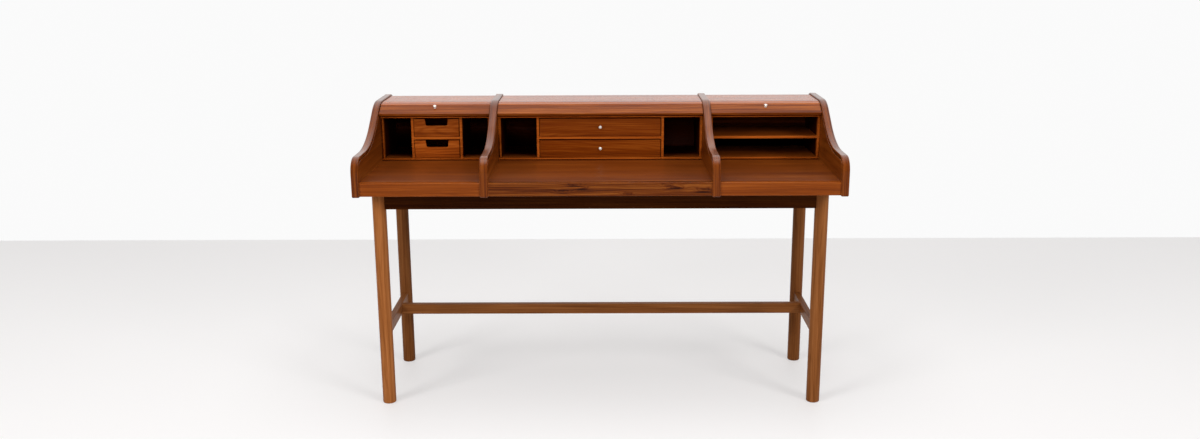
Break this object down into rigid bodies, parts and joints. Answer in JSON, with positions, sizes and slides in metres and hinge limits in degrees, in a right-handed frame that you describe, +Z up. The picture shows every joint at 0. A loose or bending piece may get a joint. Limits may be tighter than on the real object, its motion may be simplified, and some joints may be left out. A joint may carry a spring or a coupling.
{
  "type": "tambour desk",
  "caption": "Free-standing walnut tambour desk: S-shaped sides, roll-back slatted curtains over pigeonholes and small drawers, round legs with an H-stretcher.",
  "frame": {"origin": "on the floor under the middle of the desk's bounding box", "axes": "+X along the width, to the right of a person sitting at the desk, +Y from the front to the back, +Z up; the front faces -Y"},
  "size_m": [1.47, 0.61, 0.933],
  "materials": {
    "walnut_panels": "satin reddish-brown walnut, grain along the desk's depth",
    "walnut_boards": "satin reddish-brown walnut, straight grain along the width, figured on the middle rail",
    "walnut_slats": "satin walnut slats with the grain along their length",
    "walnut_case": "satin walnut, darker inside the cases",
    "walnut_drawers": "satin walnut, grain along the front",
    "walnut_base": "satin walnut, grain along each leg and rail",
    "knob_metal": "polished pale brass",
    "screw_steel": "plain steel"
  },
  "bodies": {
    "desk": {"apron_front": "walnut_base", "apron_rear": "walnut_base", "back_panel": "walnut_case", "cleats": "walnut_base", "divider_left": "walnut_panels", "divider_right": "walnut_panels", "end_panel_left": "walnut_panels", "end_panel_right": "walnut_panels", "front_rails": "walnut_boards", "leg_front_left": "walnut_base", "leg_front_right": "walnut_base", "leg_rear_left": "walnut_base", "leg_rear_right": "walnut_base", "pigeonhole_case_centre": "walnut_case", "pigeonhole_case_left": "walnut_case", "pigeonhole_case_right": "walnut_case", "screws": "screw_steel", "side_aprons": "walnut_base", "stretcher_left": "walnut_base", "stretcher_long": "walnut_base", "stretcher_right": "walnut_base", "tambour_beds": "walnut_case", "writing_board_centre": "walnut_boards", "writing_board_left": "walnut_boards", "writing_board_right": "walnut_boards"},
    "left_slats_front": {"tambour_left_slats_front": "walnut_slats"},
    "left_slat_2": {"tambour_left_slat_2": "walnut_slats"},
    "left_slat_1": {"tambour_left_slat_1": "walnut_slats"},
    "left_lead": {"lead_bar_left": "walnut_slats", "lead_knob_left": "knob_metal"},
    "left_slats_top": {"tambour_left_slats_top": "walnut_slats"},
    "left_slat_11": {"tambour_left_slat_11": "walnut_slats"},
    "left_slat_12": {"tambour_left_slat_12": "walnut_slats"},
    "left_slat_13": {"tambour_left_slat_13": "walnut_slats"},
    "left_slats_rear": {"tambour_left_slats_rear": "walnut_slats"},
    "centre_slats_front": {"tambour_centre_slats_front": "walnut_slats"},
    "centre_slat_2": {"tambour_centre_slat_2": "walnut_slats"},
    "centre_slat_1": {"tambour_centre_slat_1": "walnut_slats"},
    "centre_lead": {"lead_bar_centre": "walnut_slats"},
    "centre_slats_top": {"tambour_centre_slats_top": "walnut_slats"},
    "centre_slat_11": {"tambour_centre_slat_11": "walnut_slats"},
    "centre_slat_12": {"tambour_centre_slat_12": "walnut_slats"},
    "centre_slat_13": {"tambour_centre_slat_13": "walnut_slats"},
    "centre_slats_rear": {"tambour_centre_slats_rear": "walnut_slats"},
    "right_slats_front": {"tambour_right_slats_front": "walnut_slats"},
    "right_slat_2": {"tambour_right_slat_2": "walnut_slats"},
    "right_slat_1": {"tambour_right_slat_1": "walnut_slats"},
    "right_lead": {"lead_bar_right": "walnut_slats", "lead_knob_right": "knob_metal"},
    "right_slats_top": {"tambour_right_slats_top": "walnut_slats"},
    "right_slat_11": {"tambour_right_slat_11": "walnut_slats"},
    "right_slat_12": {"tambour_right_slat_12": "walnut_slats"},
    "right_slat_13": {"tambour_right_slat_13": "walnut_slats"},
    "right_slats_rear": {"tambour_right_slats_rear": "walnut_slats"},
    "left_upper_drawer": {"drawer_left_upper": "walnut_drawers"},
    "left_lower_drawer": {"drawer_left_lower": "walnut_drawers"},
    "centre_upper_drawer": {"drawer_centre_upper": "walnut_drawers", "drawer_knob_upper": "knob_metal"},
    "centre_lower_drawer": {"drawer_centre_lower": "walnut_drawers", "drawer_knob_lower": "knob_metal"}
  },
  "joints": [
    {"name": "tambour_left_slide", "type": "slide", "parent": "desk", "child": "left_slats_front", "axis": [0, -0.9532, -0.3022], "range_m": [0, 0.3871], "deforming": ["tambour_left_slats_front", "tambour_left_slat_2", "tambour_left_slat_1", "tambour_left_slats_top", "tambour_left_slat_11", "tambour_left_slat_12", "tambour_left_slat_13", "tambour_left_slats_rear"]},
    {"name": "tambour_left_slat_2_turn", "type": "hinge", "parent": "left_slats_front", "child": "left_slat_2", "pos_m": [-0.5345, 0.11085, 0.924], "axis": [1, 0, 0], "range_deg": [0, 7.68]},
    {"name": "tambour_left_slat_1_turn", "type": "hinge", "parent": "left_slat_2", "child": "left_slat_1", "pos_m": [-0.5345, 0.09289, 0.92275], "axis": [1, 0, 0], "range_deg": [0, 19.52]},
    {"name": "tambour_left_lead_turn", "type": "hinge", "parent": "left_slat_1", "child": "left_lead", "pos_m": [-0.5345, 0.07537, 0.91862], "axis": [1, 0, 0], "range_deg": [0, 25.83]},
    {"name": "tambour_left_slats_top_turn", "type": "hinge", "parent": "left_slats_front", "child": "left_slats_top", "pos_m": [-0.5345, 0.18285, 0.924], "axis": [1, 0, 0], "range_deg": [0, 7.42]},
    {"name": "tambour_left_slat_11_turn", "type": "hinge", "parent": "left_slats_top", "child": "left_slat_11", "pos_m": [-0.5345, 0.25485, 0.924], "axis": [1, 0, 0], "range_deg": [0, 21.91]},
    {"name": "tambour_left_slat_12_turn", "type": "hinge", "parent": "left_slat_11", "child": "left_slat_12", "pos_m": [-0.5345, 0.27235, 0.91978], "axis": [1, 0, 0], "range_deg": [0, 38]},
    {"name": "tambour_left_slats_rear_turn", "type": "hinge", "parent": "left_slats_top", "child": "left_slats_rear", "pos_m": [-0.5345, 0.28257, 0.91832], "axis": [1, 0, 0], "range_deg": [0, 115.01]},
    {"name": "tambour_left_slat_13_turn", "type": "hinge", "parent": "left_slats_rear", "child": "left_slat_13", "pos_m": [-0.5345, 0.287, 0.88855], "axis": [1, 0, 0], "range_deg": [-18.5, 0]},
    {"name": "tambour_centre_slide", "type": "slide", "parent": "desk", "child": "centre_slats_front", "axis": [0, -0.9532, -0.3022], "range_m": [0, 0.3871], "deforming": ["tambour_centre_slats_front", "tambour_centre_slat_2", "tambour_centre_slat_1", "tambour_centre_slats_top", "tambour_centre_slat_11", "tambour_centre_slat_12", "tambour_centre_slat_13", "tambour_centre_slats_rear"]},
    {"name": "tambour_centre_slat_2_turn", "type": "hinge", "parent": "centre_slats_front", "child": "centre_slat_2", "pos_m": [0, 0.11085, 0.924], "axis": [1, 0, 0], "range_deg": [0, 7.68]},
    {"name": "tambour_centre_slat_1_turn", "type": "hinge", "parent": "centre_slat_2", "child": "centre_slat_1", "pos_m": [0, 0.09289, 0.92275], "axis": [1, 0, 0], "range_deg": [0, 19.52]},
    {"name": "tambour_centre_lead_turn", "type": "hinge", "parent": "centre_slat_1", "child": "centre_lead", "pos_m": [0, 0.07537, 0.91862], "axis": [1, 0, 0], "range_deg": [0, 25.83]},
    {"name": "tambour_centre_slats_top_turn", "type": "hinge", "parent": "centre_slats_front", "child": "centre_slats_top", "pos_m": [0, 0.18285, 0.924], "axis": [1, 0, 0], "range_deg": [0, 7.42]},
    {"name": "tambour_centre_slat_11_turn", "type": "hinge", "parent": "centre_slats_top", "child": "centre_slat_11", "pos_m": [0, 0.25485, 0.924], "axis": [1, 0, 0], "range_deg": [0, 21.91]},
    {"name": "tambour_centre_slat_12_turn", "type": "hinge", "parent": "centre_slat_11", "child": "centre_slat_12", "pos_m": [0, 0.27235, 0.91978], "axis": [1, 0, 0], "range_deg": [0, 38]},
    {"name": "tambour_centre_slats_rear_turn", "type": "hinge", "parent": "centre_slats_top", "child": "centre_slats_rear", "pos_m": [0, 0.28257, 0.91832], "axis": [1, 0, 0], "range_deg": [0, 115.01]},
    {"name": "tambour_centre_slat_13_turn", "type": "hinge", "parent": "centre_slats_rear", "child": "centre_slat_13", "pos_m": [0, 0.287, 0.88855], "axis": [1, 0, 0], "range_deg": [-18.5, 0]},
    {"name": "tambour_right_slide", "type": "slide", "parent": "desk", "child": "right_slats_front", "axis": [0, -0.9532, -0.3022], "range_m": [0, 0.3871], "deforming": ["tambour_right_slats_front", "tambour_right_slat_2", "tambour_right_slat_1", "tambour_right_slats_top", "tambour_right_slat_11", "tambour_right_slat_12", "tambour_right_slat_13", "tambour_right_slats_rear"]},
    {"name": "tambour_right_slat_2_turn", "type": "hinge", "parent": "right_slats_front", "child": "right_slat_2", "pos_m": [0.5345, 0.11085, 0.924], "axis": [1, 0, 0], "range_deg": [0, 7.68]},
    {"name": "tambour_right_slat_1_turn", "type": "hinge", "parent": "right_slat_2", "child": "right_slat_1", "pos_m": [0.5345, 0.09289, 0.92275], "axis": [1, 0, 0], "range_deg": [0, 19.52]},
    {"name": "tambour_right_lead_turn", "type": "hinge", "parent": "right_slat_1", "child": "right_lead", "pos_m": [0.5345, 0.07537, 0.91862], "axis": [1, 0, 0], "range_deg": [0, 25.83]},
    {"name": "tambour_right_slats_top_turn", "type": "hinge", "parent": "right_slats_front", "child": "right_slats_top", "pos_m": [0.5345, 0.18285, 0.924], "axis": [1, 0, 0], "range_deg": [0, 7.42]},
    {"name": "tambour_right_slat_11_turn", "type": "hinge", "parent": "right_slats_top", "child": "right_slat_11", "pos_m": [0.5345, 0.25485, 0.924], "axis": [1, 0, 0], "range_deg": [0, 21.91]},
    {"name": "tambour_right_slat_12_turn", "type": "hinge", "parent": "right_slat_11", "child": "right_slat_12", "pos_m": [0.5345, 0.27235, 0.91978], "axis": [1, 0, 0], "range_deg": [0, 38]},
    {"name": "tambour_right_slats_rear_turn", "type": "hinge", "parent": "right_slats_top", "child": "right_slats_rear", "pos_m": [0.5345, 0.28257, 0.91832], "axis": [1, 0, 0], "range_deg": [0, 115.01]},
    {"name": "tambour_right_slat_13_turn", "type": "hinge", "parent": "right_slats_rear", "child": "right_slat_13", "pos_m": [0.5345, 0.287, 0.88855], "axis": [1, 0, 0], "range_deg": [-18.5, 0]},
    {"name": "left_upper_drawer_slide", "type": "slide", "parent": "desk", "child": "left_upper_drawer", "axis": [0, 1, 0], "range_m": [-0.15, 0]},
    {"name": "left_lower_drawer_slide", "type": "slide", "parent": "desk", "child": "left_lower_drawer", "axis": [0, 1, 0], "range_m": [-0.15, 0]},
    {"name": "centre_upper_drawer_slide", "type": "slide", "parent": "desk", "child": "centre_upper_drawer", "axis": [0, 1, 0], "range_m": [-0.15, 0]},
    {"name": "centre_lower_drawer_slide", "type": "slide", "parent": "desk", "child": "centre_lower_drawer", "axis": [0, 1, 0], "range_m": [-0.15, 0]}
  ],
  "couplings": [
    {"joint": "tambour_left_slat_2_turn", "follows": "tambour_left_slide", "rad_per_m": 0.34632},
    {"joint": "tambour_left_slat_1_turn", "follows": "tambour_left_slide", "rad_per_m": 0.88022},
    {"joint": "tambour_left_lead_turn", "follows": "tambour_left_slide", "rad_per_m": 1.1648},
    {"joint": "tambour_left_slats_top_turn", "follows": "tambour_left_slide", "rad_per_m": 0.3347},
    {"joint": "tambour_left_slat_11_turn", "follows": "tambour_left_slide", "rad_per_m": 0.98775},
    {"joint": "tambour_left_slat_12_turn", "follows": "tambour_left_slide", "rad_per_m": 1.7131},
    {"joint": "tambour_left_slats_rear_turn", "follows": "tambour_left_slide", "rad_per_m": 5.1856},
    {"joint": "tambour_left_slat_13_turn", "follows": "tambour_left_slide", "rad_per_m": -0.83409},
    {"joint": "tambour_centre_slat_2_turn", "follows": "tambour_centre_slide", "rad_per_m": 0.34632},
    {"joint": "tambour_centre_slat_1_turn", "follows": "tambour_centre_slide", "rad_per_m": 0.88022},
    {"joint": "tambour_centre_lead_turn", "follows": "tambour_centre_slide", "rad_per_m": 1.1648},
    {"joint": "tambour_centre_slats_top_turn", "follows": "tambour_centre_slide", "rad_per_m": 0.3347},
    {"joint": "tambour_centre_slat_11_turn", "follows": "tambour_centre_slide", "rad_per_m": 0.98775},
    {"joint": "tambour_centre_slat_12_turn", "follows": "tambour_centre_slide", "rad_per_m": 1.7131},
    {"joint": "tambour_centre_slats_rear_turn", "follows": "tambour_centre_slide", "rad_per_m": 5.1856},
    {"joint": "tambour_centre_slat_13_turn", "follows": "tambour_centre_slide", "rad_per_m": -0.83409},
    {"joint": "tambour_right_slat_2_turn", "follows": "tambour_right_slide", "rad_per_m": 0.34632},
    {"joint": "tambour_right_slat_1_turn", "follows": "tambour_right_slide", "rad_per_m": 0.88022},
    {"joint": "tambour_right_lead_turn", "follows": "tambour_right_slide", "rad_per_m": 1.1648},
    {"joint": "tambour_right_slats_top_turn", "follows": "tambour_right_slide", "rad_per_m": 0.3347},
    {"joint": "tambour_right_slat_11_turn", "follows": "tambour_right_slide", "rad_per_m": 0.98775},
    {"joint": "tambour_right_slat_12_turn", "follows": "tambour_right_slide", "rad_per_m": 1.7131},
    {"joint": "tambour_right_slats_rear_turn", "follows": "tambour_right_slide", "rad_per_m": 5.1856},
    {"joint": "tambour_right_slat_13_turn", "follows": "tambour_right_slide", "rad_per_m": -0.83409}
  ]
}
